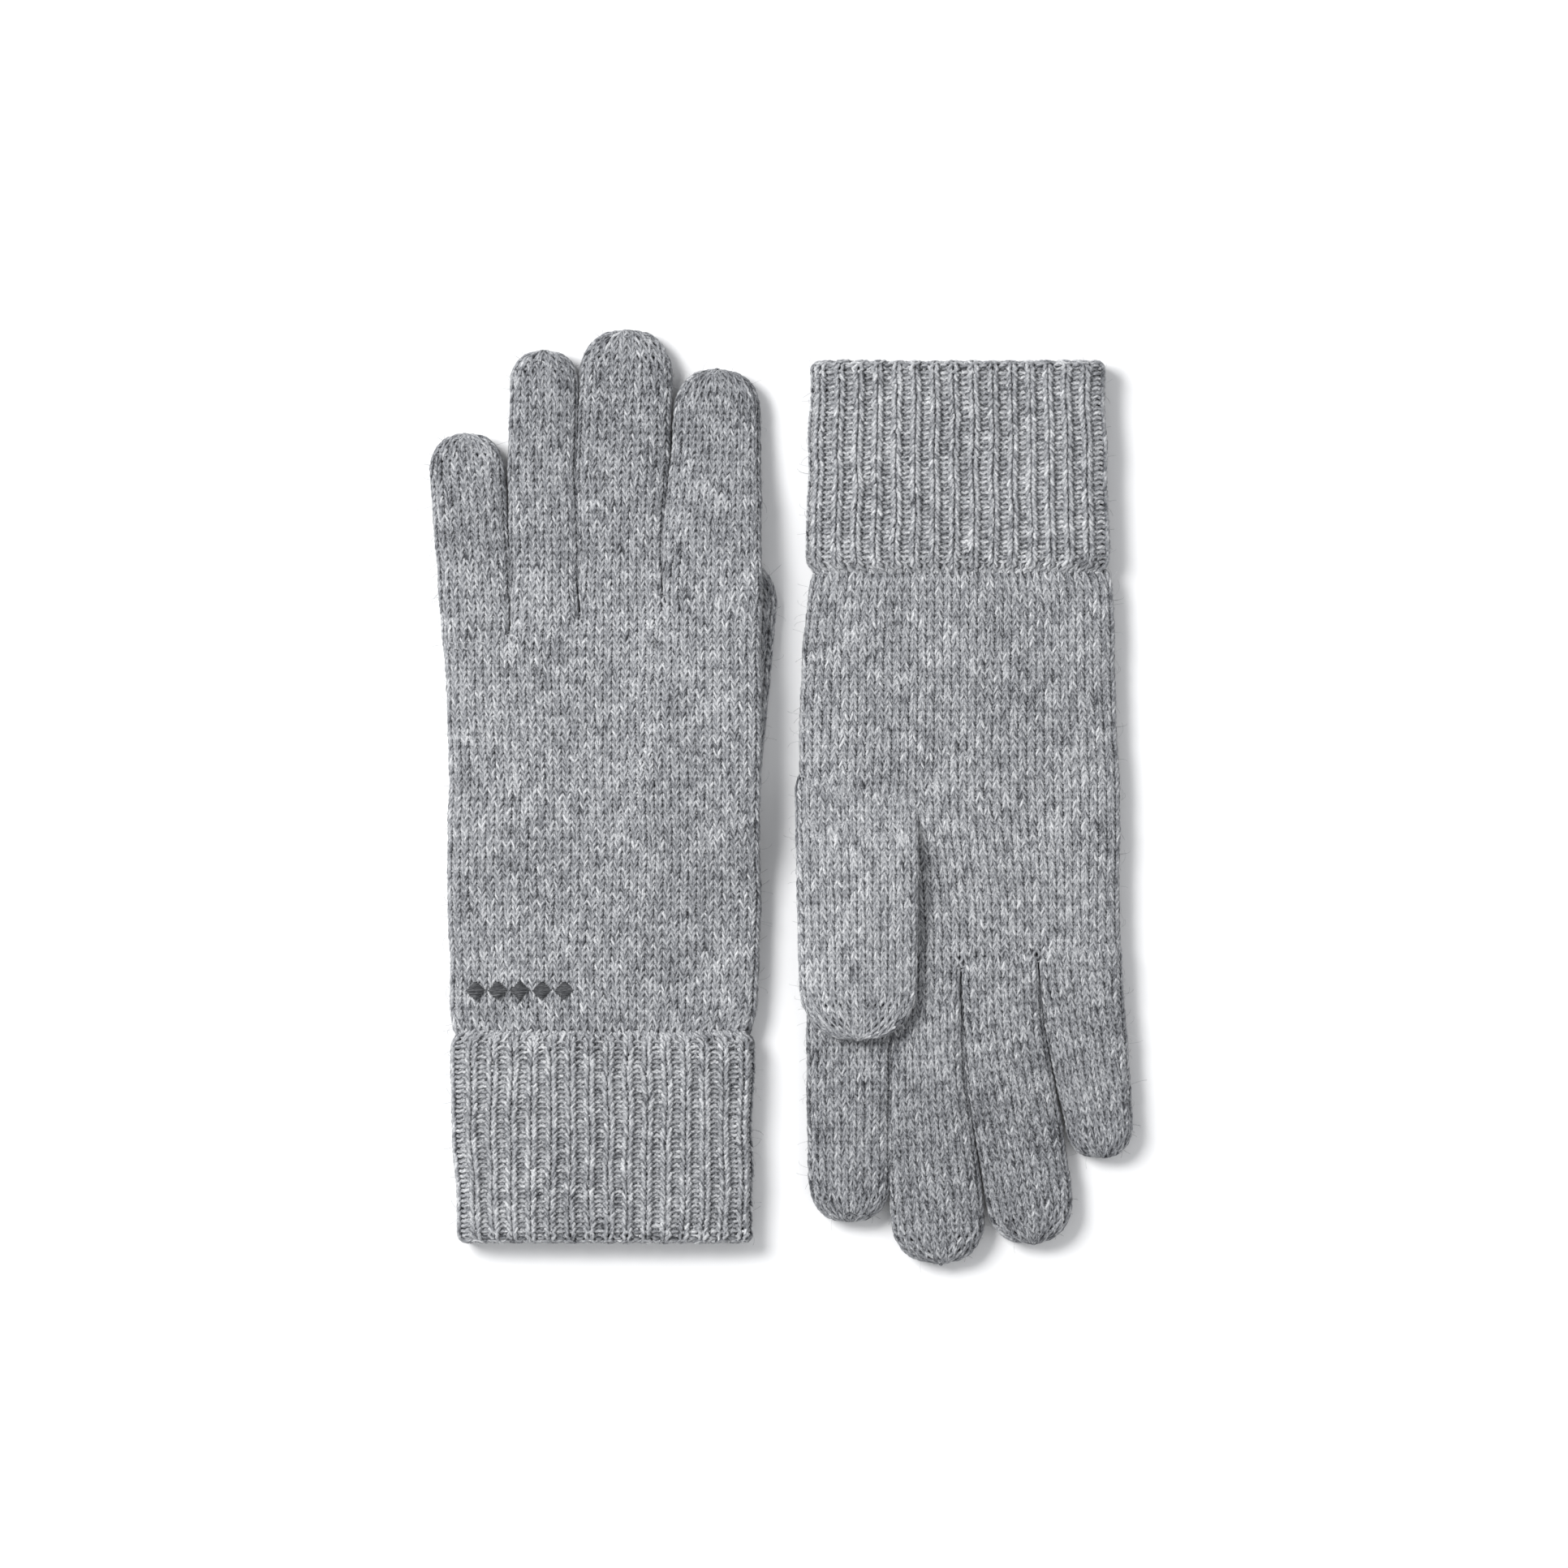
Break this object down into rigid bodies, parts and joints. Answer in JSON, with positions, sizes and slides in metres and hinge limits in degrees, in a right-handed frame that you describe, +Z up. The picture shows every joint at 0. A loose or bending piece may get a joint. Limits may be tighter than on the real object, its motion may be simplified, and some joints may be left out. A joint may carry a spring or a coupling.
{
  "type": "pair of knitted gloves",
  "caption": "Pair of full-finger knitted gloves lying flat, one back up and one palm up, with deep ribbed cuffs and folded-in thumbs; fingers, thumbs and cuffs fold.",
  "frame": {"origin": "centre of the pair's footprint, on the surface that the gloves lie on", "axes": "+Z up off the surface; +Y towards the left glove's fingertips, which is towards the right glove's cuff; +X from the left glove to the right glove"},
  "size_m": [0.2101, 0.2773, 0.0175],
  "materials": {
    "plain_knit": "heathered grey plain-knit wool, soft and matt with a slight haze of fibres",
    "ribbed_knit": "heathered grey one-by-one ribbed wool, matt",
    "closing_yarn": "twisted grey wool yarn, matt",
    "covered_elastic": "yarn-covered elastic thread, matt",
    "embroidery_thread": "dark grey embroidery thread with a slight sheen"
  },
  "bodies": {
    "left_hand": {"left_hand": "plain_knit", "left_wrist_seam": "closing_yarn", "left_crotch_stitches": "closing_yarn", "left_embroidered_mark": "embroidery_thread"},
    "left_cuff": {"left_rib_cuff": "ribbed_knit", "left_cuff_facing": "ribbed_knit", "left_cuff_elastics": "covered_elastic"},
    "left_little": {"left_little_finger": "plain_knit", "left_little_tip_yarn": "closing_yarn"},
    "left_ring": {"left_ring_finger": "plain_knit", "left_ring_tip_yarn": "closing_yarn"},
    "left_middle": {"left_middle_finger": "plain_knit", "left_middle_tip_yarn": "closing_yarn"},
    "left_index": {"left_index_finger": "plain_knit", "left_index_tip_yarn": "closing_yarn"},
    "left_thumb": {"left_thumb": "plain_knit", "left_thumb_tip_yarn": "closing_yarn"},
    "right_hand": {"right_hand": "plain_knit", "right_wrist_seam": "closing_yarn", "right_crotch_stitches": "closing_yarn"},
    "right_cuff": {"right_rib_cuff": "ribbed_knit", "right_cuff_facing": "ribbed_knit", "right_cuff_elastics": "covered_elastic"},
    "right_little": {"right_little_finger": "plain_knit", "right_little_tip_yarn": "closing_yarn"},
    "right_ring": {"right_ring_finger": "plain_knit", "right_ring_tip_yarn": "closing_yarn"},
    "right_middle": {"right_middle_finger": "plain_knit", "right_middle_tip_yarn": "closing_yarn"},
    "right_index": {"right_index_finger": "plain_knit", "right_index_tip_yarn": "closing_yarn"},
    "right_thumb": {"right_thumb": "plain_knit", "right_thumb_tip_yarn": "closing_yarn"}
  },
  "joints": [
    {"name": "right_glove_place", "type": "slide", "parent": "left_hand", "child": "right_hand", "axis": [1, 0, 0], "range_m": [0, 0.11]},
    {"name": "left_cuff_fold", "type": "hinge", "parent": "left_hand", "child": "left_cuff", "pos_m": [-0.05261, -0.07634, 0.006], "axis": [-1, 0, 0], "range_deg": [0, 60]},
    {"name": "left_little_fold", "type": "hinge", "parent": "left_hand", "child": "left_little", "pos_m": [-0.09111, 0.04316, 0.0043], "axis": [0.999, 0.0454, 0], "range_deg": [0, 75]},
    {"name": "left_ring_fold", "type": "hinge", "parent": "left_hand", "child": "left_ring", "pos_m": [-0.07041, 0.04666, 0.0043], "axis": [1, 0.0017, 0], "range_deg": [0, 75]},
    {"name": "left_middle_fold", "type": "hinge", "parent": "left_hand", "child": "left_middle", "pos_m": [-0.04761, 0.05066, 0.0043], "axis": [0.9998, -0.0192, 0], "range_deg": [0, 75]},
    {"name": "left_index_fold", "type": "hinge", "parent": "left_hand", "child": "left_index", "pos_m": [-0.02031, 0.05266, 0.0132], "axis": [0.9998, -0.0209, 0], "range_deg": [0, 75]},
    {"name": "left_thumb_fold", "type": "hinge", "parent": "left_hand", "child": "left_thumb", "pos_m": [-0.02261, -0.00334, 0.0033], "axis": [-0.9942, 0.108, 0], "range_deg": [0, 70]},
    {"name": "right_cuff_fold", "type": "hinge", "parent": "right_hand", "child": "right_cuff", "pos_m": [0.05309, 0.07316, 0.006], "axis": [1, 0, 0], "range_deg": [0, 60]},
    {"name": "right_little_fold", "type": "hinge", "parent": "right_hand", "child": "right_little", "pos_m": [0.08929, -0.04484, 0.0043], "axis": [-0.9942, -0.108, 0], "range_deg": [0, 75]},
    {"name": "right_ring_fold", "type": "hinge", "parent": "right_hand", "child": "right_ring", "pos_m": [0.06569, -0.04584, 0.0043], "axis": [-0.9934, -0.1149, 0], "range_deg": [0, 75]},
    {"name": "right_middle_fold", "type": "hinge", "parent": "right_hand", "child": "right_middle", "pos_m": [0.04419, -0.07234, 0.0043], "axis": [-0.9987, -0.0506, 0], "range_deg": [0, 75]},
    {"name": "right_index_fold", "type": "hinge", "parent": "right_hand", "child": "right_index", "pos_m": [0.01969, -0.07684, 0.0043], "axis": [-0.9996, -0.0279, 0], "range_deg": [0, 75]},
    {"name": "right_thumb_fold", "type": "hinge", "parent": "right_hand", "child": "right_thumb", "pos_m": [0.02269, -0.00084, 0.014], "axis": [-1, -0.007, 0], "range_deg": [0, 70]}
  ]
}
